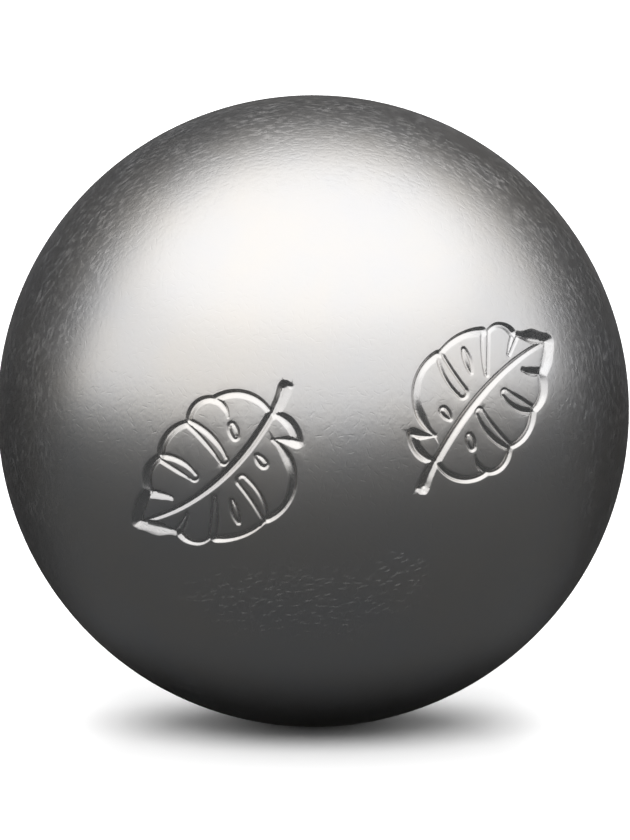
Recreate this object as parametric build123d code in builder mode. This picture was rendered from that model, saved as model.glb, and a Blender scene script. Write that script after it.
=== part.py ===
# Petanque boule: a hollow steel ball made of two stamped half-shells and one weld, engraved with leaves.
# Origin at the centre of the ball, +Z up, the front shell on the -Y side, the weld in the XZ plane.
import os
from math import cos, radians, sin, sqrt

from build123d import *

# Ball and wall
ball_diameter = 74.0
shell_wall = 6.16

# Butt joint between the shells: a register lip, a flat root land, and a V that the weld fills
root_land = 3.0
weld_cap_width = 3.8
register_width = 1.2
register_length = 1.0
register_clearance = 0.05
register_end_gap = 0.10

# Band of leaves: a tilted great circle with one pair of leaves on each shell, angles in degrees
band_tilt = 12.6
pair_angle = 7.4
pair_spread = 56.0
leaf_lean = 26.5

# Leaf, drawn tip up about the middle of its blade, with a bowed midrib
leaf_length = 21.1
midrib_bow = 2.2
tip_lobe_bulge = 0.03
slit_bulge = 0.05
stem_length = 3.6
stem_lean = 31.0
stem_bulge = 0.04

# Clefts between the lobes: root along the midrib (0 to 1), reach to the edge, rise in degrees, slit length,
# bulge of the lobe below, and where along the slit the next lobe starts (0 at the edge, 1 at the inner end)
right_clefts = (
    (0.18, 6.5, 3, 2.6, 0.23, 0),
    (0.34, 7.1, 8, 6.4, 0.25, 0),
    (0.49, 6.9, 26, 5.1, 0.18, 0),
    (0.64, 5.2, 43, 3.0, 0.21, 0),
)
left_clefts = (
    (0.14, 5.0, -46, 2.8, 0.17, 1),
    (0.32, 7.1, 11, 5.7, 0.31, 0),
    (0.46, 6.6, 46, 5.1, 0.15, 0),
    (0.60, 5.0, 70, 2.8, 0.23, 0),
)

# Holes in the blade: root along the midrib, rise in degrees, nearest and farthest point to the right of it
blade_holes = ((0.25, -19, 1.9, 3.6), (0.20, 1, -1.4, -3.0), (0.39, -26, -3.1, -5.7))

# Engraved lines
engraving_depth = 0.32
outline_width = 1.00
tip_width = 1.50
midrib_width = 0.90
slit_width = 0.95
hole_width = 1.15
stem_width = 1.40

ball_radius = ball_diameter / 2
inner_radius = ball_radius - shell_wall
land_radius = inner_radius + root_land
register_radius = inner_radius + register_width
socket_radius = register_radius + register_clearance
socket_depth = register_length + register_end_gap
weld_edge_height = weld_cap_width / 2
weld_edge_radius = sqrt(ball_radius**2 - weld_edge_height**2)
lip_end_radius = sqrt(inner_radius**2 - register_length**2)
socket_end_radius = sqrt(inner_radius**2 - socket_depth**2)
diagonal = sqrt(0.5)

os.makedirs("parts", exist_ok=True)


def midrib_point(place):
    """Point of the bowed midrib, from 0 at the base of the blade to 1 at the tip."""
    return Vector(-4 * midrib_bow * place * (1 - place), leaf_length * (place - 0.5))


def stroke(start, end, bulge, width):
    """Engraved arc from start to end that bulges to its right by a share of the chord."""
    chord = end - start
    middle = (start + end) * 0.5 + Vector(chord.Y, -chord.X) * bulge
    return start, middle, end, width


def lobed_side(clefts, side):
    """Lobes and slits of one side of the blade: side is 1 for the right, -1 for the left."""
    strokes = []
    corner = midrib_point(0)
    for root, reach, rise, slit_length, bulge, next_start in clefts:
        outward = Vector(side * cos(radians(rise)), sin(radians(rise)))
        edge = midrib_point(root) + outward * reach
        strokes.append(stroke(corner, edge, side * bulge, outline_width))
        strokes.append(stroke(edge, edge - outward * slit_length, side * slit_bulge, slit_width))
        corner = edge - outward * (slit_length * next_start)
    strokes.append(stroke(corner, midrib_point(1), side * tip_lobe_bulge, tip_width))
    return strokes


def holes():
    """Short strokes for the small holes beside the midrib."""
    strokes = []
    for root, rise, near, far in blade_holes:
        across = Vector(1, 0).rotate(Axis.Z, rise)
        rib = midrib_point(root)
        strokes.append(stroke(rib + across * near, rib + across * far, slit_bulge, hole_width))
    return strokes


base = midrib_point(0)
stem_end = base + Vector(0, -stem_length).rotate(Axis.Z, stem_lean)
leaf_strokes = [
    stroke(base, midrib_point(1), -midrib_bow / leaf_length, midrib_width),
    stroke(base, stem_end, stem_bulge, stem_width),
    *lobed_side(right_clefts, 1),
    *lobed_side(left_clefts, -1),
    *holes(),
]

# Leaf cutter at the top of the ball, with a round floor that follows the ball at the engraved depth
with BuildPart() as leaf_cutter:
    with BuildSketch() as leaf_drawing:
        for start, middle, end, width in leaf_strokes:
            with BuildLine():
                ThreePointArc(start, middle, end)
            trace(line_width=width)
    extrude(amount=ball_radius + shell_wall)
    Sphere(ball_radius - engraving_depth, mode=Mode.SUBTRACT)

# The leaf band: X points to the middle of the front shell, Z is the band's own axis
band = Plane(origin=(0, 0, 0), x_dir=(0, -1, 0), z_dir=(-sin(radians(band_tilt)), 0, cos(radians(band_tilt))))


def leaf_place(angle, lean):
    """Plane through the ball's centre that faces a leaf: Z to the leaf, Y along it to the tip."""
    outward = band.from_local_coords(Vector(1, 0, 0).rotate(Axis.Z, angle))
    along = band.from_local_coords(Vector(0, 1, 0).rotate(Axis.X, lean).rotate(Axis.Z, angle))
    return Plane(origin=(0, 0, 0), x_dir=along.cross(outward), z_dir=outward)


def leaf_pair(middle_angle):
    """Places of two leaves either side of a point on the band, the second turned end for end."""
    first = leaf_place(middle_angle + pair_spread / 2, leaf_lean)
    second = leaf_place(middle_angle - pair_spread / 2, leaf_lean + 180)
    return first, second


# Section planes: X is the distance from the shell's axis, Y the height over the weld plane
rear_section = Plane.XY
front_section = Plane(origin=(0, 0, 0), x_dir=(1, 0, 0), z_dir=(0, 0, -1))

# Points that both shells share
outer_pole = (0, ball_radius)
outer_middle = (ball_radius * diagonal, ball_radius * diagonal)
weld_edge = (weld_edge_radius, weld_edge_height)
land_edge = (land_radius, 0)
inner_middle = (inner_radius * diagonal, inner_radius * diagonal)
inner_pole = (0, inner_radius)

# Front half-shell, with the register lip that reaches past the weld plane
lip_end = (lip_end_radius, -register_length)
with BuildPart() as front_half_shell:
    with BuildSketch(front_section):
        with BuildLine():
            ThreePointArc(outer_pole, outer_middle, weld_edge)
            Polyline(weld_edge, land_edge, (register_radius, 0), (register_radius, -register_length), lip_end)
            ThreePointArc(lip_end, inner_middle, inner_pole)
            Line(inner_pole, outer_pole)
        make_face()
    revolve(axis=Axis.Y)
    with Locations(*leaf_pair(pair_angle)):
        add(leaf_cutter.part, mode=Mode.SUBTRACT)
front_half_shell.part.label = "front_half_shell"
export_step(front_half_shell.part, "parts/front_half_shell.step")

# Rear half-shell, with the socket for the lip
socket_end = (socket_end_radius, socket_depth)
with BuildPart() as rear_half_shell:
    with BuildSketch(rear_section):
        with BuildLine():
            ThreePointArc(outer_pole, outer_middle, weld_edge)
            Polyline(weld_edge, land_edge, (socket_radius, 0), (socket_radius, socket_depth), socket_end)
            ThreePointArc(socket_end, inner_middle, inner_pole)
            Line(inner_pole, outer_pole)
        make_face()
    revolve(axis=Axis.Y)
    with Locations(*leaf_pair(pair_angle + 180)):
        add(leaf_cutter.part, mode=Mode.SUBTRACT)
rear_half_shell.part.label = "rear_half_shell"
export_step(rear_half_shell.part, "parts/rear_half_shell.step")

# Weld bead, which fills the V between the shells and is ground flush with the ball
opposite_edge = (weld_edge_radius, -weld_edge_height)
with BuildPart() as weld_bead:
    with BuildSketch(rear_section):
        with BuildLine():
            ThreePointArc(weld_edge, (ball_radius, 0), opposite_edge)
            Polyline(opposite_edge, land_edge, weld_edge)
        make_face()
    revolve(axis=Axis.Y)
weld_bead.part.label = "weld_bead"
export_step(weld_bead.part, "parts/weld_bead.step")
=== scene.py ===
import math
import bpy
import numpy as np
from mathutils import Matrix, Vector
from mathutils.geometry import delaunay_2d_cdt


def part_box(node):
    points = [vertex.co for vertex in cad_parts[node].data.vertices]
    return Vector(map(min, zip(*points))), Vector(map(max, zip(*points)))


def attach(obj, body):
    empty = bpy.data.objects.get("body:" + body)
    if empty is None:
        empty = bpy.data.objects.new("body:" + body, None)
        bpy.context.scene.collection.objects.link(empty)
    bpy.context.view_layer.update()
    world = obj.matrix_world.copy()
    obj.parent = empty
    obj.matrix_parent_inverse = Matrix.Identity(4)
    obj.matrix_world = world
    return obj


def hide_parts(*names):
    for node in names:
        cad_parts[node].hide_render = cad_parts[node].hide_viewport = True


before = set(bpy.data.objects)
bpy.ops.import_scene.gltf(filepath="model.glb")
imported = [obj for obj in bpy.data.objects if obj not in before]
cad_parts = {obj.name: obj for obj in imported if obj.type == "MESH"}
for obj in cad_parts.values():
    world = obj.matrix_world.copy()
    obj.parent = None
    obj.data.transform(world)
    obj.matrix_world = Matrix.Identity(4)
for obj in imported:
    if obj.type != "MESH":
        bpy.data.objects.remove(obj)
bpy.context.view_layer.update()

mm = 0.001
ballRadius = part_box("weld_bead")[1].x / mm  # everything below is in mm until a mesh is written
print("frame loaded, ball radius", round(ballRadius, 3), "mm")


def linearColour(hexCode):
    channels = [int(hexCode[i:i + 2], 16) / 255 for i in (1, 3, 5)]
    return [c / 12.92 if c <= 0.04045 else ((c + 0.055) / 1.055) ** 2.4 for c in channels] + [1.0]


def addNode(tree, kind, settings=None, inputs=None):
    node = tree.nodes.new(kind)
    for name, value in (settings or {}).items():
        setattr(node, name, value)
    for name, value in (inputs or {}).items():
        if isinstance(value, bpy.types.NodeSocket):
            tree.links.new(value, node.inputs[name])
        else:
            node.inputs[name].default_value = value
    return node


def heading(degrees):
    return np.array([math.cos(math.radians(degrees)), math.sin(math.radians(degrees))])


# Leaf, drawn tip up about the middle of its blade, in mm and degrees. A cleft parts two lobes: it starts at a
# root along the midrib, reaches out to the edge at a rise, and runs back in as a slit. The lobe below it has a
# bulge, the widths along its cut and a lean of that cut's wide wall into the blade. The slit has widths from
# the edge inwards, a lean of its wide wall to the tip, a sway of its line to the base and, where it is a loop,
# half its opening at the mouth, middle and inner end. A loop's line on the tip side is a share as wide.
leafDrawing = {
    "length": 21.1,
    "bow": 2.2,  # sag of the midrib to the left
    "midrib": (1.00, 1.00, 0.80, 0.55),
    "stemLength": 3.7,
    "stemLean": 31.0,
    "stemBulge": 0.04,
    "stem": (1.15, 1.40, 1.60),
    "stemWall": 0.35,
    "stemFoot": 0.80,
    "tipShort": 0.50,  # how far short of the tip its cuts meet
    "tipHeading": 78,
    "tipBulge": {1: 0.04, -1: -0.035},
    "tips": {1: (1.20, 1.55, 1.50), -1: (0.75, 1.70, 1.25)},
    "tipWall": 0.40,
    "right": (
        {"root": 0.18, "reach": 6.5, "rise": 3, "bulge": 0.21, "lobe": (0.65, 0.85, 0.90), "wall": 0.30,
         "slit": 2.6, "cut": (0.80, 0.70, 0.28), "sway": 0.16, "lean": 0.30},
        {"root": 0.34, "reach": 7.1, "rise": 8, "bulge": 0.23, "lobe": (0.75, 0.85, 0.90), "wall": 0.30,
         "slit": 6.4, "cut": (0.72, 0.70, 0.38), "sway": 0.08, "lean": 0.30, "opening": (0.20, 0.52, 0.46)},
        {"root": 0.49, "reach": 6.9, "rise": 26, "bulge": 0.16, "lobe": (0.80, 0.95, 1.10), "wall": 0.30,
         "slit": 5.1, "cut": (0.76, 0.72, 0.40), "sway": 0.07, "lean": 0.30, "opening": (0.20, 0.60, 0.42)},
        {"root": 0.64, "reach": 5.1, "rise": 43, "bulge": 0.19, "lobe": (0.95, 1.25, 1.35), "wall": 0.0,
         "slit": 2.8, "cut": (1.05, 1.02, 0.62), "sway": 0.06, "lean": 0.45},
    ),
    "left": (
        {"root": 0.14, "reach": 4.5, "rise": -46, "bulge": 0.17, "lobe": (0.65, 1.20, 1.25), "wall": 0.0,
         "slit": 2.6, "cut": (1.25, 0.25), "sway": 0.05, "lean": 0.2, "open": True},
        {"root": 0.32, "reach": 7.1, "rise": 11, "bulge": 0.29, "lobe": (0.40, 1.10, 0.90, 0.80, 0.95),
         "wall": 0.30, "slit": 5.7, "cut": (0.50, 0.50), "sway": 0.07, "lean": 0.0,
         "opening": (0.24, 0.60, 0.58)},
        {"root": 0.46, "reach": 6.6, "rise": 46, "bulge": 0.10, "lobe": (0.60, 0.75, 1.05), "wall": 0.40,
         "slit": 5.1, "cut": (0.46, 0.44), "sway": 0.03, "lean": 0.0, "opening": (0.40, 0.38, 0.14)},
        {"root": 0.60, "reach": 5.0, "rise": 70, "bulge": 0.22, "lobe": (0.55, 0.70, 1.15), "wall": 0.25,
         "slit": 2.8, "cut": (0.46, 0.44), "sway": 0.02, "lean": 0.0, "opening": (0.36, 0.27, 0.08)},
    ),
    # holes: start, end and half opening at the start, middle and end
    "holes": (
        ((0.42, -5.88), (1.58, -6.28), (0.28, 0.42, 0.30)),
        ((-2.62, -6.45), (-3.86, -6.48), (0.04, 0.34, 0.36)),
        ((-4.75, -1.03), (-7.20, 0.14), (0.05, 0.36, 0.08)),
    ),
    "hole": (0.50,),
    "tipLine": 0.72,
    "capLeast": 0.1,  # half openings under this end in a point
}

# V-cut of the graver: the same wall slope at any width, with edges that the tumbling has rounded
graver = {
    "slope": 0.74,
    "shoulder": 0.07,
    "shoulderShare": 0.4,  # largest share of a narrow cut
    "root": 0.05,
    "crossing": 8,  # how sharply cuts meet where they cross
}


def cutStroke(start, end, bulge, widths, lean=0):
    # an arc that bulges to the right of its chord by a share of its length; a lean widens the right wall
    start, end = np.array(start, float), np.array(end, float)
    chord = end - start
    length = np.linalg.norm(chord)
    right = np.array([chord[1], -chord[0]]) / length
    radius = length * (0.25 + bulge ** 2) / (2 * bulge)
    centre = (start + end) / 2 + right * (bulge * length - radius)
    first = math.atan2(*(start - centre)[::-1])
    last = math.atan2(*(end - centre)[::-1])
    span = (last - first) % (2 * math.pi) if bulge > 0 else -((first - last) % (2 * math.pi))
    return {"centre": centre, "radius": abs(radius), "first": first, "span": span, "widths": widths,
            "lean": lean}


def loopStrokes(start, end, halves, widths, sway=0, lean=0, tipSide=0, closed=False):
    # two arcs side by side, with a half circle round the end and, where closed, round the start
    halfCircle, capLeast = 0.5, leafDrawing["capLeast"]
    start, end = np.array(start, float), np.array(end, float)
    ahead = (end - start) / np.linalg.norm(end - start)
    aside = np.array([ahead[1], -ahead[0]])
    first, middle, last = halves
    bulge = (middle - (first + last) / 2) / np.linalg.norm(end - start)
    strokes = []
    for side in (1, -1):
        line = [w * leafDrawing["tipLine"] for w in widths] if side == tipSide else widths
        strokes.append(cutStroke(start + aside * first * side, end + aside * last * side, bulge * side + sway,
                                 line, lean))
    if last > capLeast:
        strokes.append(cutStroke(end + aside * last, end - aside * last, halfCircle, widths[-1:]))
    if closed and first > capLeast:
        strokes.append(cutStroke(start - aside * first, start + aside * first, halfCircle, widths[:1]))
    return strokes


def midribPoint(place):
    return np.array([-4 * leafDrawing["bow"] * place * (1 - place), leafDrawing["length"] * (place - 0.5)])


def leafStrokes():
    base, tip = midribPoint(0), midribPoint(1)
    tipMeet = tip - heading(leafDrawing["tipHeading"]) * leafDrawing["tipShort"]
    down = heading(leafDrawing["stemLean"] - 90)
    across = np.array([down[1], -down[0]])
    stemBulge, stemHalf = leafDrawing["stemBulge"], leafDrawing["stem"][-1] / 2
    stemEnd = base + down * (leafDrawing["stemLength"] - stemHalf)
    foot = base + down * (leafDrawing["stemLength"] - leafDrawing["stemFoot"] / 2)
    footHalf = stemHalf - leafDrawing["stemFoot"] / 2
    footMiddle = foot + across * stemHalf * leafDrawing["stemWall"]
    strokes = [
        cutStroke(base, tipMeet, -leafDrawing["bow"] / leafDrawing["length"], leafDrawing["midrib"]),
        cutStroke(base, stemEnd, stemBulge, leafDrawing["stem"], leafDrawing["stemWall"]),
        cutStroke(footMiddle - across * footHalf, footMiddle + across * footHalf, stemBulge,
                  (leafDrawing["stemFoot"],)),
    ]
    for side, clefts in ((1, leafDrawing["right"]), (-1, leafDrawing["left"])):
        corner = base
        for cleft in clefts:
            outward = heading(cleft["rise"]) * (side, 1)
            tipward = np.array([-outward[1], outward[0]]) * side
            edge = midribPoint(cleft["root"]) + outward * cleft["reach"]
            slitEnd = edge - outward * cleft["slit"]
            halves = cleft.get("opening", (0, 0, 0))
            strokes.append(cutStroke(corner, edge - tipward * halves[0], side * cleft["bulge"],
                                     cleft["lobe"], -side * cleft["wall"]))
            sway, lean = -side * cleft["sway"], side * cleft["lean"]
            if "opening" in cleft:
                tipSide = side if side > 0 else 0
                strokes += loopStrokes(edge, slitEnd + outward * halves[2], halves, cleft["cut"], sway,
                                       lean, tipSide)
            else:
                strokes.append(cutStroke(edge, slitEnd, sway, cleft["cut"], lean))
            corner = slitEnd if cleft.get("open") else edge + tipward * halves[0]
        strokes.append(cutStroke(corner, tipMeet, side * leafDrawing["tipBulge"][side],
                                 leafDrawing["tips"][side], side * leafDrawing["tipWall"]))
    for start, end, halves in leafDrawing["holes"]:
        strokes += loopStrokes(start, end, halves, leafDrawing["hole"], closed=True)
    return strokes


def meanHalf(stroke, along):
    # half the width, which changes without a kink from each value to the next
    widths = np.array(stroke["widths"])
    place = along * (len(widths) - 1)
    before = np.floor(place).astype(int)
    share = place - before
    after = np.minimum(before + 1, len(widths) - 1)
    return (widths[before] + (widths[after] - widths[before]) * share ** 2 * (3 - 2 * share)) / 2


def strokeLine(stroke, along):
    # points along a stroke, and the rays from the arc's centre through them
    angle = stroke["first"] + along * stroke["span"]
    ray = np.stack([np.cos(angle), np.sin(angle)], 1)
    return stroke["centre"] + ray * stroke["radius"], ray


def distanceToStroke(stroke, points):
    # distance from the stroke's line, mean half width there, and half width on the side of the point
    away = points - stroke["centre"]
    span = abs(stroke["span"])
    turn = (np.arctan2(away[:, 1], away[:, 0]) - stroke["first"]) * np.sign(stroke["span"])
    turn = (turn + math.pi - span / 2) % (2 * math.pi) - math.pi + span / 2
    along = np.clip(turn / span, 0, 1)
    nearest, ray = strokeLine(stroke, along)
    offset = points - nearest
    distance = np.linalg.norm(offset, axis=1)
    aside = np.sum(offset * ray, axis=1) / np.maximum(distance, 1e-9) * np.sign(stroke["span"])
    mean = meanHalf(stroke, along)
    return distance, mean, mean * (1 + stroke["lean"] * aside)


def cutDepth(strokes, points):
    crossing = graver["crossing"]
    total = np.zeros(len(points))
    for stroke in strokes:
        distance, mean, half = distanceToStroke(stroke, points)
        soft = np.minimum(graver["shoulder"] / half, graver["shoulderShare"])
        rounded = np.sqrt(distance ** 2 + graver["root"] ** 2) - graver["root"]
        wall = 1 - rounded / half
        wall = np.where(wall > soft, wall, np.clip(wall + soft, 0, None) ** 2 / (4 * soft))
        total += (graver["slope"] * math.sqrt(1 - stroke["lean"] ** 2) * mean * wall) ** crossing
    return total ** (1 / crossing)


# Band of leaves: a tilted great circle with a pair of leaves on each shell
leafBand = {"tilt": 12.6, "pairAngle": 7.4, "pairSpread": 56.0, "lean": 26.5, "patchRadius": 16.4}
bandTilt = math.radians(leafBand["tilt"])
bandAxis = np.array([-math.sin(bandTilt), 0, math.cos(bandTilt)])
bandFront = np.array([0.0, -1.0, 0.0])
bandEast = np.cross(bandAxis, bandFront)


def leafPlace(angle, lean):
    # axes of a leaf: right, towards the tip, and out of the ball
    turn = heading(angle)
    outward = turn[0] * bandFront + turn[1] * bandEast
    tangent = turn[0] * bandEast - turn[1] * bandFront
    up = heading(lean)[0] * tangent + heading(lean)[1] * bandAxis
    return np.stack([np.cross(up, outward), up, outward])


def leafPair(middleAngle):
    half = leafBand["pairSpread"] / 2
    return [leafPlace(middleAngle + half, leafBand["lean"]),
            leafPlace(middleAngle - half, leafBand["lean"] + 180)]


def thinned(points, spacing):
    # keeps the first of any points that crowd each other
    cells, kept = {}, []
    for index, point in enumerate(points.tolist()):
        column, row = int(point[0] // spacing), int(point[1] // spacing)
        cellsNear = (cells.get((column + i, row + j), ()) for i in (-1, 0, 1) for j in (-1, 0, 1))
        near = (q for cell in cellsNear for q in cell)
        if all((point[0] - q[0]) ** 2 + (point[1] - q[1]) ** 2 > spacing ** 2 for q in near):
            cells.setdefault((column, row), []).append(point)
            kept.append(index)
    return points[kept]


# Mesh density of the carving and of the plain ball
skinGrid = {
    "alongCut": 0.16,
    # rows of points along a cut: share of its half width, and gap in widths of its shoulder
    "cutRows": ((0, 0), (1, 0), (1, 1.6), (1, -1.1), (0.35, 0), (0.68, 0)),
    "crowding": 0.08,
    "plain": 1.25,
    "packing": 0.866,  # rows of triangles lie this much closer than their points
    "rimGap": 0.6,
    "clear": 0.22,
    "rim": 240,
}


def carvingPoints(strokes):
    # rows of points along each cut: its bottom, edges, outside and walls, then round its ends
    rows = []
    for share, gapShare in skinGrid["cutRows"]:
        gap = gapShare * graver["shoulder"]
        for stroke in strokes:
            length = (stroke["radius"] + share * max(stroke["widths"]) / 2 + gap) * abs(stroke["span"])
            along = np.linspace(0, 1, max(8, round(length / skinGrid["alongCut"])))
            line, ray = strokeLine(stroke, along)
            lean = stroke["lean"] * np.sign(stroke["span"])
            for side in ((1, -1) if share else (1,)):
                reach = share * meanHalf(stroke, along) * (1 + lean * side) + gap
                rows.append(line + ray * (side * reach)[:, None])
            for end in (0, -1):
                mean = meanHalf(stroke, along[end])
                turns = 360 / max(12, round(2 * math.pi * (share * mean + gap) / skinGrid["alongCut"]))
                around = np.array([heading(a) for a in np.arange(0, 360, turns)])
                reach = share * mean * (1 + lean * (around @ ray[end])) + gap
                rows.append(line[end] + around * reach[:, None])
    return thinned(np.concatenate(rows), skinGrid["crowding"])


def onBall(place, points, depth):
    height = np.sqrt(ballRadius ** 2 - np.sum(points ** 2, axis=1))
    outward = np.column_stack([points, height]) / ballRadius
    return (outward * (ballRadius - depth)[:, None]) @ place


def carvedSkin(strokes, place, points):
    # places and normals of leaf points, the normals from the slope of the cut itself
    step = 0.012
    shifts = [np.array(s) * step for s in ((1, 0), (-1, 0), (0, 1), (0, -1))]
    right, left, up, down = (onBall(place, points + s, cutDepth(strokes, points + s)) for s in shifts)
    normal = np.cross(right - left, up - down)
    depth = cutDepth(strokes, points)
    return onBall(place, points, depth), normal / np.linalg.norm(normal, axis=1)[:, None], depth


# Half-shells: butt joint with a register, and the wall behind it
shellSection = {
    "wall": 6.16,
    "rootLand": 3.0,
    "capWidth": 3.8,
    "capRows": 7,
    "lipWidth": 1.2,
    "lipLength": 1.0,
    "clearance": 0.05,
    "endGap": 0.10,
    "innerRings": 14,
}
innerRadius = ballRadius - shellSection["wall"]
landRadius = innerRadius + shellSection["rootLand"]
capEdge = shellSection["capWidth"] / 2
rimRadius = math.sqrt(ballRadius ** 2 - capEdge ** 2)
rimAngles = np.radians(np.arange(skinGrid["rim"]) * 360 / skinGrid["rim"])


def insideProfile(registerRadius, registerEnd):
    # distance from the shell's axis and height over the weld plane, from the bevel to the inner pole
    profile = [(landRadius, 0), (registerRadius, 0), (registerRadius, registerEnd)]
    lowest = math.asin(registerEnd / innerRadius)
    for ring in range(shellSection["innerRings"]):
        angle = lowest + (math.pi / 2 - lowest) * ring / shellSection["innerRings"]
        profile.append((innerRadius * math.cos(angle), innerRadius * math.sin(angle)))
    return profile


def plainPoints(axes, places, strokes):
    # even spiral of points over the shell, kept clear of the carving
    spacing = skinGrid["plain"]
    top = math.sin(math.asin(capEdge / ballRadius) + skinGrid["rimGap"] * spacing / ballRadius)
    count = round(2 * math.pi * ballRadius ** 2 * (1 - top) / (spacing ** 2 * skinGrid["packing"]))
    height = 1 - (np.arange(count) + 0.5) / count * (1 - top)
    turn = np.arange(count) * math.pi * (3 - math.sqrt(5))
    reach = np.sqrt(1 - height ** 2)
    points = np.stack([reach * np.cos(turn), reach * np.sin(turn), height], 1) @ axes * ballRadius
    for place in places:
        local = points @ place.T
        nearLeaf = (local[:, 2] > 0) & (np.hypot(local[:, 0], local[:, 1]) < leafBand["patchRadius"])
        crowded = np.zeros(len(points), bool)
        for stroke in strokes:
            distance, mean, half = distanceToStroke(stroke, local[:, :2])
            crowded |= distance < half + 2 * graver["shoulder"] + skinGrid["clear"]
        points = points[~(nearLeaf & crowded)]
    return points


# What counts as the outer skin: its depth in mm and how far it faces outwards
skinShading = {"depth": 1.2, "facing": 0.2, "sharpAngle": 35}


def writeMesh(name, verts, faces, normals, carved):
    # normals of zero length are left to Blender
    mesh = bpy.data.meshes.new(name)
    mesh.from_pydata((np.asarray(verts) * mm).tolist(), [], faces)
    mesh.update()
    mesh.shade_smooth()
    mesh.set_sharp_from_angle(angle=math.radians(skinShading["sharpAngle"]))
    loopVerts = np.zeros(len(mesh.loops), np.int32)
    mesh.loops.foreach_get("vertex_index", loopVerts)
    outer = np.zeros(len(mesh.loops), bool)
    for polygon in mesh.polygons:
        reach = polygon.center.length
        facing = polygon.normal.dot(polygon.center)
        if reach > (ballRadius - skinShading["depth"]) * mm and facing > skinShading["facing"] * reach:
            outer[polygon.loop_start:polygon.loop_start + polygon.loop_total] = True
    loopNormals = np.where(outer[:, None], np.asarray(normals)[loopVerts], 0)
    mesh.normals_split_custom_set(loopNormals.tolist())
    depths = mesh.attributes.new("carved", "FLOAT", "POINT")
    depths.data.foreach_set("value", np.asarray(carved, np.float32))
    piece = bpy.data.objects.new(name, mesh)
    bpy.context.scene.collection.objects.link(piece)
    return piece


def halfShell(name, axes, leafPlaces, registerRadius, registerEnd):
    strokes = leafStrokes()
    circle = np.stack([np.cos(rimAngles), np.sin(rimAngles)], 1)
    rim = np.column_stack([circle * rimRadius, np.full(len(circle), capEdge)]) @ axes
    plain = plainPoints(axes, leafPlaces, strokes)
    verts = [rim, plain]
    normals = [rim / ballRadius, plain / ballRadius]
    carved = [np.zeros(len(rim) + len(plain))]
    cuts = carvingPoints(strokes)
    for place in leafPlaces:
        spots, slopes, depth = carvedSkin(strokes, place, cuts)
        verts.append(spots)
        normals.append(slopes)
        carved.append(depth)
    verts, normals, carved = np.concatenate(verts), np.concatenate(normals), np.concatenate(carved)
    # triangulated flat, on a map of the half ball that keeps angles
    local = verts @ axes.T
    local /= np.linalg.norm(local, axis=1)[:, None]
    flat = local[:, :2] / (1 + local[:, 2:])
    result = delaunay_2d_cdt([Vector(p) for p in flat.tolist()], [], [], 0, 1e-7)
    source = [ids[0] for ids in result[3]]
    faces = [[source[v] for v in face] for face in result[2]]
    # bevel, land, register and inner wall as rings that follow the rim
    rings = [list(range(len(rim)))]
    verts = list(verts)
    for reach, height in insideProfile(registerRadius, registerEnd):
        rings.append(list(range(len(verts), len(verts) + len(circle))))
        verts += list(np.column_stack([circle * reach, np.full(len(circle), height)]) @ axes)
    for outerRing, innerRing in zip(rings, rings[1:]):
        for i in range(len(circle)):
            j = (i + 1) % len(circle)
            faces.append([outerRing[j], outerRing[i], innerRing[i], innerRing[j]])
    faces += [[rings[-1][(i + 1) % len(circle)], rings[-1][i], len(verts)] for i in range(len(circle))]
    verts.append(axes[2] * innerRadius)
    extra = len(verts) - len(normals)
    print(name, len(verts), "points", len(faces), "faces")
    return writeMesh(name, verts, faces, np.pad(normals, ((0, extra), (0, 0))), np.pad(carved, (0, extra)))


frontAxes = np.array([[1.0, 0, 0], [0, 0, 1.0], [0, -1.0, 0]])
rearAxes = np.array([[-1.0, 0, 0], [0, 0, 1.0], [0, 1.0, 0]])
lipRadius = innerRadius + shellSection["lipWidth"]
frontShell = halfShell("frontShell", frontAxes, leafPair(leafBand["pairAngle"]), lipRadius,
                       -shellSection["lipLength"])
rearShell = halfShell("rearShell", rearAxes, leafPair(leafBand["pairAngle"] + 180),
                      lipRadius + shellSection["clearance"],
                      shellSection["lipLength"] + shellSection["endGap"])


def weldRing(name):
    # the V of weld metal: its flush cap in a few rows, then the two sides down to the root
    heights = np.linspace(-capEdge, capEdge, shellSection["capRows"])
    profile = [(math.sqrt(ballRadius ** 2 - h ** 2), h) for h in heights] + [(landRadius, 0)]
    verts = [np.array([math.cos(a) * r, h, math.sin(a) * r]) for r, h in profile for a in rimAngles]
    count = len(rimAngles)
    faces = []
    for row in range(len(profile)):
        after = (row + 1) % len(profile)
        for i in range(count):
            j = (i + 1) % count
            faces.append([row * count + i, after * count + i, after * count + j, row * count + j])
    normals = [v / np.linalg.norm(v) for v in verts]
    return writeMesh(name, verts, faces, normals, np.zeros(len(verts)))


weldSeam = weldRing("weldSeam")
print("pieces built")


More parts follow.
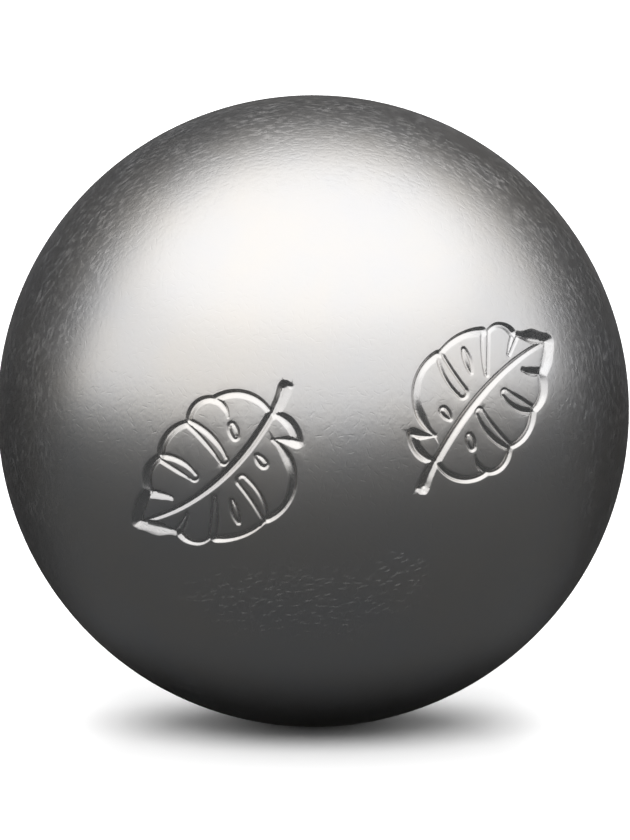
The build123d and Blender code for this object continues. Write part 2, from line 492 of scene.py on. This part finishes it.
# Steel finish, lengths in mm
steelFinish = {
    "warm": "#EAE3D9",
    "cool": "#D8DBE1",
    "blotch": 20.0,  # size of the warm and cool blotches
    "roughness": 0.34,
    "cutRoughness": 0.26,
    "cutEdge": (0.02, 0.12),  # depths between which the finish of a cut takes over
    "grain": 0.60,  # pitch of the stone marks
    "grainHeight": 0.014,
    # marks that turning left round each shell's axis, in patches away from its middle
    "turnLength": 1.0,
    "turnWidth": 0.50,
    "turnDepth": 0.0120,
    "turnRoughness": 0.13,
    "turnBand": (0.46, 0.68),  # noise levels between which a mark deepens
    "turnStart": (40, 62),  # degrees from the middle of the shell
    "turnPatch": 5.0,
    "patchBand": (0.35, 0.65),
    "patchLeast": 0.4,
    # fine scratches and scuffs, one in each cell
    "nickCell": 1.2,
    "nickWidth": 0.11,
    "nickLength": 0.50,
    "nickDepth": 0.005,
    "scuffCell": 1.25,
    "scuffWidth": 0.16,
    "scuffLength": 0.62,
    "scuffUpright": (-0.35, 0, 1.8),
    "scuffRoughness": 0.29,
    "scratchFull": 0.4,  # share of a scratch's length before it fades
    # where balls have knocked together: middle, reach and strength of each patch of scuffs
    "wornPlaces": (
        ((-2, -31, -18), (20, 10, 7.0), 0.9),
        ((9.5, -32, -14.5), (4.5, 6, 4.5), 1.0),
        ((15, 28, 18), (14, 10, 9), 0.8),
    ),
    "wornFull": 0.4,  # share of its reach over which a patch has its full strength
}


def scratchMask(tree, place, outward, cell, halfWidth, halfLength, upright=(0, 0, 0)):
    # one straight scratch in each cell, in any direction or, the longer upright is, more nearly across it
    cells = addNode(tree, "ShaderNodeTexVoronoi", None, {"Vector": place, "Scale": 1 / cell})
    offset = addNode(tree, "ShaderNodeVectorMath", {"operation": "SUBTRACT"},
                     {0: place, 1: cells.outputs["Position"]})
    lean = addNode(tree, "ShaderNodeVectorMath", {"operation": "MULTIPLY_ADD"},
                   {0: cells.outputs["Color"], 1: (1, 1, 1), 2: [u - 0.5 for u in upright]})
    across = addNode(tree, "ShaderNodeVectorMath", {"operation": "CROSS_PRODUCT"},
                     {0: outward, 1: lean.outputs[0]})
    along = addNode(tree, "ShaderNodeVectorMath", {"operation": "NORMALIZE"}, {0: across.outputs[0]})
    aside = addNode(tree, "ShaderNodeVectorMath", {"operation": "CROSS_PRODUCT"},
                    {0: outward, 1: along.outputs[0]})
    fullLength = halfLength * steelFinish["scratchFull"]
    faded = []
    for direction, near, far in ((along, fullLength, halfLength), (aside, 0.0, halfWidth)):
        reach = addNode(tree, "ShaderNodeVectorMath", {"operation": "DOT_PRODUCT"},
                        {0: offset.outputs[0], 1: direction.outputs[0]})
        size = addNode(tree, "ShaderNodeMath", {"operation": "ABSOLUTE"}, {0: reach.outputs["Value"]})
        faded.append(addNode(tree, "ShaderNodeMapRange", {"interpolation_type": "SMOOTHSTEP"},
                             {"Value": size.outputs[0], "From Min": near, "From Max": far,
                              "To Min": 1.0, "To Max": 0.0}))
    return addNode(tree, "ShaderNodeMath", {"operation": "MULTIPLY"},
                   {0: faded[0].outputs[0], 1: faded[1].outputs[0]}).outputs[0]


# Carbon steel, stamped, turned, engraved and tumbled with stones: a satin grey with a soft wide highlight.
# Stone marks and short turned marks catch the light where the tone changes fast, the walls of the cuts are
# brighter and smoother, and scuffs from play are dull
def tumbledSteel(name):
    material = bpy.data.materials.new(name)
    material.use_nodes = True
    tree = material.node_tree
    tree.nodes.clear()
    coords = addNode(tree, "ShaderNodeTexCoord")
    place = addNode(tree, "ShaderNodeVectorMath", {"operation": "SCALE"},
                    {0: coords.outputs["Object"], "Scale": 1 / mm}).outputs[0]
    outward = addNode(tree, "ShaderNodeVectorMath", {"operation": "NORMALIZE"}, {0: place}).outputs[0]

    blotches = addNode(tree, "ShaderNodeTexNoise", None,
                       {"Vector": place, "Scale": 1 / steelFinish["blotch"], "Detail": 4.0, "Roughness": 0.6})
    tint = addNode(tree, "ShaderNodeMix", {"data_type": "RGBA"},
                   {0: blotches.outputs["Fac"], 6: linearColour(steelFinish["warm"]),
                    7: linearColour(steelFinish["cool"])})

    cuts = addNode(tree, "ShaderNodeAttribute", {"attribute_name": "carved"})
    shallow, deep = steelFinish["cutEdge"]
    inCut = addNode(tree, "ShaderNodeMapRange", None,
                    {"Value": cuts.outputs["Fac"], "From Min": shallow, "From Max": deep})

    grain = addNode(tree, "ShaderNodeTexNoise", None,
                    {"Vector": place, "Scale": 1 / steelFinish["grain"], "Detail": 3.0, "Roughness": 0.55})
    nicks = scratchMask(tree, place, outward, steelFinish["nickCell"], steelFinish["nickWidth"],
                        steelFinish["nickLength"])
    scuffs = scratchMask(tree, place, outward, steelFinish["scuffCell"], steelFinish["scuffWidth"],
                         steelFinish["scuffLength"], steelFinish["scuffUpright"])

    # noise drawn out round the shell's axis, which is Y
    ring = addNode(tree, "ShaderNodeVectorMath", {"operation": "MULTIPLY"}, {0: place, 1: (1, 0, 1)})
    ring = addNode(tree, "ShaderNodeVectorMath", {"operation": "NORMALIZE"}, {0: ring.outputs[0]})
    sine = addNode(tree, "ShaderNodeVectorMath", {"operation": "DOT_PRODUCT"}, {0: outward, 1: (0, 1, 0)})
    sine = addNode(tree, "ShaderNodeMath", {"operation": "ABSOLUTE"}, {0: sine.outputs["Value"]})
    polar = addNode(tree, "ShaderNodeMath", {"operation": "ARCCOSINE"}, {0: sine.outputs[0]})
    row = addNode(tree, "ShaderNodeMath", {"operation": "MULTIPLY"},
                  {0: polar.outputs[0], 1: ballRadius / steelFinish["turnWidth"]})
    row = addNode(tree, "ShaderNodeCombineXYZ", None, {"Y": row.outputs[0]})
    around = ballRadius / steelFinish["turnLength"]
    turned = addNode(tree, "ShaderNodeVectorMath", {"operation": "MULTIPLY_ADD"},
                     {0: ring.outputs[0], 1: (around, around, around), 2: row.outputs[0]})
    turned = addNode(tree, "ShaderNodeTexNoise", None,
                     {"Vector": turned.outputs[0], "Scale": 1.0, "Detail": 2.0})
    faint, full = steelFinish["turnBand"]
    turned = addNode(tree, "ShaderNodeMapRange", None,
                     {"Value": turned.outputs["Fac"], "From Min": faint, "From Max": full})
    start, full = (math.radians(a) for a in steelFinish["turnStart"])
    outer = addNode(tree, "ShaderNodeMapRange", {"interpolation_type": "SMOOTHSTEP"},
                    {"Value": polar.outputs[0], "From Min": start, "From Max": full})
    patches = addNode(tree, "ShaderNodeTexNoise", None,
                      {"Vector": place, "Scale": 1 / steelFinish["turnPatch"], "Detail": 2.0})
    faint, full = steelFinish["patchBand"]
    patches = addNode(tree, "ShaderNodeMapRange", None,
                      {"Value": patches.outputs["Fac"], "From Min": faint, "From Max": full,
                       "To Min": steelFinish["patchLeast"], "To Max": 1.0})
    turned = addNode(tree, "ShaderNodeMath", {"operation": "MULTIPLY"},
                     {0: turned.outputs[0], 1: outer.outputs[0]})
    turned = addNode(tree, "ShaderNodeMath", {"operation": "MULTIPLY"},
                     {0: turned.outputs[0], 1: patches.outputs[0]})

    worn = None
    for middle, reach, strength in steelFinish["wornPlaces"]:
        away = addNode(tree, "ShaderNodeVectorMath", {"operation": "SUBTRACT"}, {0: place, 1: middle})
        away = addNode(tree, "ShaderNodeVectorMath", {"operation": "DIVIDE"}, {0: away.outputs[0], 1: reach})
        away = addNode(tree, "ShaderNodeVectorMath", {"operation": "LENGTH"}, {0: away.outputs[0]})
        patch = addNode(tree, "ShaderNodeMapRange", {"interpolation_type": "SMOOTHSTEP"},
                        {"Value": away.outputs["Value"], "From Min": steelFinish["wornFull"], "From Max": 1.0,
                         "To Min": strength, "To Max": 0.0})
        if worn:
            patch = addNode(tree, "ShaderNodeMath", {"operation": "MAXIMUM"},
                            {0: worn.outputs[0], 1: patch.outputs[0]})
        worn = patch
    scuffed = addNode(tree, "ShaderNodeMath", {"operation": "MULTIPLY"}, {0: scuffs, 1: worn.outputs[0]})

    gloss = addNode(tree, "ShaderNodeMapRange", None,
                    {"Value": inCut.outputs[0], "To Min": steelFinish["roughness"],
                     "To Max": steelFinish["cutRoughness"]})
    gloss = addNode(tree, "ShaderNodeMath", {"operation": "MULTIPLY_ADD"},
                    {0: scuffed.outputs[0], 1: steelFinish["scuffRoughness"], 2: gloss.outputs[0]})
    gloss = addNode(tree, "ShaderNodeMath", {"operation": "MULTIPLY_ADD"},
                    {0: turned.outputs[0], 1: steelFinish["turnRoughness"], 2: gloss.outputs[0]})

    # heights in mm, with the scratches and turned marks below the grain
    height = addNode(tree, "ShaderNodeMath", {"operation": "MULTIPLY"},
                     {0: grain.outputs["Fac"], 1: steelFinish["grainHeight"]})
    height = addNode(tree, "ShaderNodeMath", {"operation": "MULTIPLY_ADD"},
                     {0: nicks, 1: -steelFinish["nickDepth"], 2: height.outputs[0]})
    height = addNode(tree, "ShaderNodeMath", {"operation": "MULTIPLY_ADD"},
                     {0: turned.outputs[0], 1: -steelFinish["turnDepth"], 2: height.outputs[0]})
    relief = addNode(tree, "ShaderNodeBump", None, {"Distance": mm, "Height": height.outputs[0]})

    shader = addNode(tree, "ShaderNodeBsdfPrincipled", None,
                     {"Base Color": tint.outputs[2], "Metallic": 1.0, "Roughness": gloss.outputs[0],
                      "Normal": relief.outputs[0]})
    addNode(tree, "ShaderNodeOutputMaterial", None, {"Surface": shader.outputs["BSDF"]})
    return material


# Weld metal, ground flush and then tumbled: nearly the tone of the shells, with fine lines along the seam
weldFinish = {
    "colour": "#DDDBD8",
    "roughness": 0.33,
    "lineWidth": 0.25,
    "lineLength": 9.0,
    "lineHeight": 0.012,
}


def groundWeld(name):
    material = bpy.data.materials.new(name)
    material.use_nodes = True
    tree = material.node_tree
    tree.nodes.clear()
    coords = addNode(tree, "ShaderNodeTexCoord")
    along, across = 1 / mm / weldFinish["lineLength"], 1 / mm / weldFinish["lineWidth"]
    place = addNode(tree, "ShaderNodeVectorMath", {"operation": "MULTIPLY"},
                    {0: coords.outputs["Object"], 1: (along, across, along)})
    lines = addNode(tree, "ShaderNodeTexNoise", None, {"Vector": place.outputs[0], "Scale": 1.0, "Detail": 2.0})
    height = addNode(tree, "ShaderNodeMath", {"operation": "MULTIPLY"},
                     {0: lines.outputs["Fac"], 1: weldFinish["lineHeight"]})
    relief = addNode(tree, "ShaderNodeBump", None, {"Distance": mm, "Height": height.outputs[0]})
    shader = addNode(tree, "ShaderNodeBsdfPrincipled", None,
                     {"Base Color": linearColour(weldFinish["colour"]), "Metallic": 1.0,
                      "Roughness": weldFinish["roughness"], "Normal": relief.outputs[0]})
    addNode(tree, "ShaderNodeOutputMaterial", None, {"Surface": shader.outputs["BSDF"]})
    return material


steel = tumbledSteel("tumbledCarbonSteel")
frontShell.data.materials.append(steel)
rearShell.data.materials.append(steel)
weldSeam.data.materials.append(groundWeld("groundWeldSteel"))

for piece, node, slot in ((frontShell, "front_half_shell", "shell"), (rearShell, "rear_half_shell", "shell"),
                          (weldSeam, "weld_bead", "weld")):
    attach(piece, "root")
    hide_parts(node)
print("steel on")

# Stage: a pale floor in a white room. The steel alone sees the soft lamp overhead and two dark cards, one
# over the table and one behind the ball, which glow with painted tones in place of being lit; the table card
# has a painted shadow under and behind the ball. Two soft lamps, in front and behind, light the floor alone
studio = {
    "floorSize": 20000.0,
    "floorColour": "#FAFAFA",
    "tableRadius": 1500.0,
    "tableFlat": 300.0,  # radius of the card's level middle
    "tableLift": 0.1,  # over the floor
    "tableStep": 5,  # degrees between its corners
    "tableRim": (12.0, 80.0, 150.0),  # height in front, at the left and at the right
    "tableCard": "#474849",
    # painted shadow on the table card, seen only in the steel: a dark spot under the ball and a darker tone
    # behind it
    "paintedContactShadow": "#0C0C0C",  # under the ball, where a table is in shadow
    "contactShadowBack": 12.0,
    "contactShadowReach": (24.0, 39.0),
    "shadowCard": "#1B1B1C",  # behind the ball, where its shadow falls
    "shadowTurn": (-0.15, 0.75),
    "wallAway": 420.0,
    "wallWidth": 5000.0,
    "wallFade": (485.0, 1320.0),  # heights between which it turns from dark to the white of the room
    "wallTurn": 3.0,  # degrees that its left end comes forward
    "wallFall": 3.0,  # degrees that its top falls to the right
    "wallCard": "#2A2B2D",
    "lampHeight": 900.0,
    "lampForward": 280.0,
    "lampSize": (2300.0, 1500.0),
    "lampRadiance": 0.34,
    "sideRise": 42.0,
    "sideSpread": 38.0,
    "sideLight": 0.45,
}


def stageSheet(name, verts, faces, shaderKind, hexCode):
    material = bpy.data.materials.new(name + "Paper")
    material.use_nodes = True
    material.node_tree.nodes.clear()
    paper = addNode(material.node_tree, shaderKind, None, {"Color": linearColour(hexCode)})
    addNode(material.node_tree, "ShaderNodeOutputMaterial", None, {"Surface": paper.outputs[0]})
    mesh = bpy.data.meshes.new(name)
    mesh.from_pydata([[c * mm for c in v] for v in verts], [], faces)
    mesh.materials.append(material)
    sheet = bpy.data.objects.new(name, mesh)
    bpy.context.scene.collection.objects.link(sheet)
    return sheet


floorLevel = -ballRadius
half = studio["floorSize"] / 2
floorVerts = [(x, y, floorLevel) for x, y in ((-half, -half), (half, -half), (half, half), (-half, half))]
stageSheet("floor", floorVerts, [(0, 1, 2, 3)], "ShaderNodeBsdfDiffuse", studio["floorColour"])

circle = [tuple(heading(a)) for a in range(0, 360, studio["tableStep"])]
count = len(circle)
flat, radius = studio["tableFlat"], studio["tableRadius"]
rimFront, rimLeft, rimRight = studio["tableRim"]
tableVerts = [(x * flat, y * flat, floorLevel + studio["tableLift"]) for x, y in circle]
for x, y in circle:
    rimSide = rimRight if x > 0 else rimLeft
    tableVerts.append((x * radius, y * radius, rimFront + (rimSide - rimFront) * abs(x)))
tableFaces = [tuple(range(count))]
for i in range(count):
    j = (i + 1) % count
    tableFaces.append((i, i + count, j + count, j))
tableCard = stageSheet("tableCard", tableVerts, tableFaces, "ShaderNodeEmission", studio["tableCard"])
# The table card glows with a painted tone. Near a spot a little behind the contact it turns to a painted
# contact shadow, and behind the ball to a painted wedge of shadow.
tree = tableCard.data.materials[0].node_tree
coords = addNode(tree, "ShaderNodeTexCoord")
away = addNode(tree, "ShaderNodeVectorMath", {"operation": "MULTIPLY"},
               {0: coords.outputs["Object"], 1: (1 / mm, 1 / mm, 0)})
outward = addNode(tree, "ShaderNodeVectorMath", {"operation": "NORMALIZE"}, {0: away.outputs[0]})
behind = addNode(tree, "ShaderNodeVectorMath", {"operation": "DOT_PRODUCT"},
                 {0: outward.outputs[0], 1: (0, 1, 0)})
near, far = studio["shadowTurn"]
shade = addNode(tree, "ShaderNodeMapRange", {"interpolation_type": "SMOOTHSTEP"},
                {"Value": behind.outputs["Value"], "From Min": near, "From Max": far})
shade = addNode(tree, "ShaderNodeMix", {"data_type": "RGBA"},
                {0: shade.outputs[0], 6: linearColour(studio["tableCard"]),
                 7: linearColour(studio["shadowCard"])})
away = addNode(tree, "ShaderNodeVectorMath", {"operation": "DISTANCE"},
               {0: away.outputs[0], 1: (0, studio["contactShadowBack"], 0)})
near, far = studio["contactShadowReach"]
lit = addNode(tree, "ShaderNodeMapRange", {"interpolation_type": "SMOOTHSTEP"},
              {"Value": away.outputs["Value"], "From Min": near, "From Max": far})
tone = addNode(tree, "ShaderNodeMix", {"data_type": "RGBA"},
               {0: lit.outputs[0], 6: linearColour(studio["paintedContactShadow"]), 7: shade.outputs[2]})
tree.links.new(tone.outputs[2], tree.nodes["Emission"].inputs["Color"])

# The wall card glows with a painted tone in place of being lit: dark low down, fading upwards to the white of
# the room
wallSlope = math.tan(math.radians(studio["wallFall"]))
near, far = studio["wallFade"]
wallVerts = []
for x in (-studio["wallWidth"] / 2, studio["wallWidth"] / 2):
    y = studio["wallAway"] + x * math.tan(math.radians(studio["wallTurn"]))
    wallVerts += [(x, y, floorLevel), (x, y, far - x * wallSlope)]
wallCard = stageSheet("wallCard", wallVerts, [(0, 2, 3, 1)], "ShaderNodeEmission", studio["wallCard"])
tree = wallCard.data.materials[0].node_tree
coords = addNode(tree, "ShaderNodeTexCoord")
level = addNode(tree, "ShaderNodeVectorMath", {"operation": "DOT_PRODUCT"},
                {0: coords.outputs["Object"], 1: (wallSlope / mm, 0, 1 / mm)})
lit = addNode(tree, "ShaderNodeMapRange", None,
              {"Value": level.outputs["Value"], "From Min": near, "From Max": far})
tone = addNode(tree, "ShaderNodeMix", {"data_type": "RGBA"},
               {0: lit.outputs[0], 6: linearColour(studio["wallCard"]), 7: (1, 1, 1, 1)})
tree.links.new(tone.outputs[2], tree.nodes["Emission"].inputs["Color"])
for card in (tableCard, wallCard):
    card.visible_camera = False
    card.visible_diffuse = False
    card.visible_transmission = False
    card.visible_shadow = False

lampData = bpy.data.lights.new("softLamp", "AREA")
lampData.shape = "ELLIPSE"
lampData.size, lampData.size_y = (s * mm for s in studio["lampSize"])
lampArea = math.pi / 4 * lampData.size * lampData.size_y
lampData.energy = studio["lampRadiance"] * math.pi * lampArea
softLamp = bpy.data.objects.new("softLamp", lampData)
softLamp.location = Vector((0, -studio["lampForward"], studio["lampHeight"])) * mm
softLamp.rotation_euler = (-softLamp.location).to_track_quat("-Z", "Y").to_euler()
softLamp.visible_diffuse = False
bpy.context.scene.collection.objects.link(softLamp)

for name, turn in (("frontLamp", 90 - studio["sideRise"]), ("backLamp", studio["sideRise"] - 90)):
    sideData = bpy.data.lights.new(name, "SUN")
    sideData.angle = math.radians(studio["sideSpread"])
    sideData.energy = studio["sideLight"] * math.pi / math.sin(math.radians(studio["sideRise"]))
    sideLamp = bpy.data.objects.new(name, sideData)
    sideLamp.rotation_euler = (math.radians(turn), 0, 0)
    sideLamp.visible_glossy = False
    bpy.context.scene.collection.objects.link(sideLamp)

world = bpy.data.worlds.new("whiteRoom")
world.use_nodes = True
tree = world.node_tree
tree.nodes.clear()
room = addNode(tree, "ShaderNodeBackground", None, {"Color": (1, 1, 1, 1), "Strength": 1.0})
addNode(tree, "ShaderNodeOutputWorld", None, {"Surface": room.outputs[0]})
bpy.context.scene.world = world

# Camera: the ball's outline and place in the picture, in pixels, give the lens and the aim
picture = {
    "size": (630, 840),
    "ballCentre": (313.2, 411.0),
    "ballRadius": 316.0,
    "elevation": 6.35,
    "distance": 550.0,
    "sensor": 36.0,
}
rise = math.radians(picture["elevation"])
towardCamera = Vector((0, -math.cos(rise), math.sin(rise)))
pictureUp = Vector((0, math.sin(rise), math.cos(rise)))
focalPixels = picture["ballRadius"] * math.sqrt(picture["distance"] ** 2 - ballRadius ** 2) / ballRadius
cameraData = bpy.data.cameras.new("photoCamera")
cameraData.sensor_width = picture["sensor"]
cameraData.lens = focalPixels * picture["sensor"] / picture["size"][1]
cameraData.clip_start = 0.01
photoCamera = bpy.data.objects.new("photoCamera", cameraData)
photoCamera.location = towardCamera * picture["distance"] * mm
aside = (picture["size"][0] / 2 - picture["ballCentre"][0]) / focalPixels
below = (picture["size"][1] / 2 - picture["ballCentre"][1]) / focalPixels
aim = -towardCamera + Vector((aside, 0, 0)) - pictureUp * below
photoCamera.rotation_euler = aim.to_track_quat("-Z", "Y").to_euler()
bpy.context.scene.collection.objects.link(photoCamera)
bpy.context.scene.camera = photoCamera
bpy.context.scene.view_settings.view_transform = "Standard"
print("stage, lamps and camera set, lens", round(cameraData.lens, 1), "mm")
